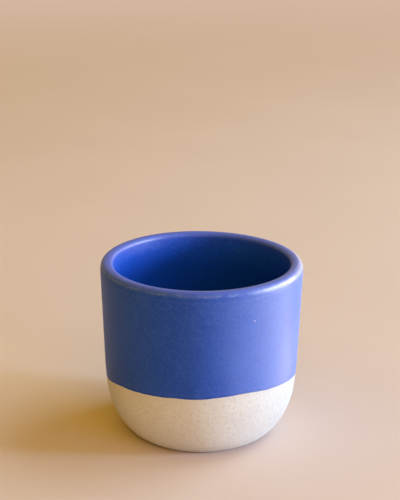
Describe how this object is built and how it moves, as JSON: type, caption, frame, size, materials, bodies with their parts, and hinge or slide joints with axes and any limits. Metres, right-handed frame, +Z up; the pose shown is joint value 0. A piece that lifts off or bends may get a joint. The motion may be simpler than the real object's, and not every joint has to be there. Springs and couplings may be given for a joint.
{
  "type": "stoneware cup",
  "caption": "Handleless stoneware cup with a slightly flaring wall, rounded base, bare clay foot and a blue glaze dipped over the outside, lip and inside.",
  "frame": {"origin": "middle of the resting plane under the foot, on the cup's axis", "axes": "+Z up along the cup's axis out of its mouth; -Y towards the pictured front, +X to its right"},
  "size_m": [0.082, 0.082, 0.0727],
  "materials": {
    "bare_stoneware": "unglazed, fine sandy grain, warm off-white",
    "dipped_blue_glaze": "satin cornflower blue glaze",
    "poured_blue_glaze": "satin cornflower blue glaze, paler where it breaks over the lip"
  },
  "bodies": {
    "root": {"stoneware_body": "bare_stoneware", "outer_glaze": "dipped_blue_glaze", "liner_glaze": "poured_blue_glaze"}
  },
  "joints": []
}
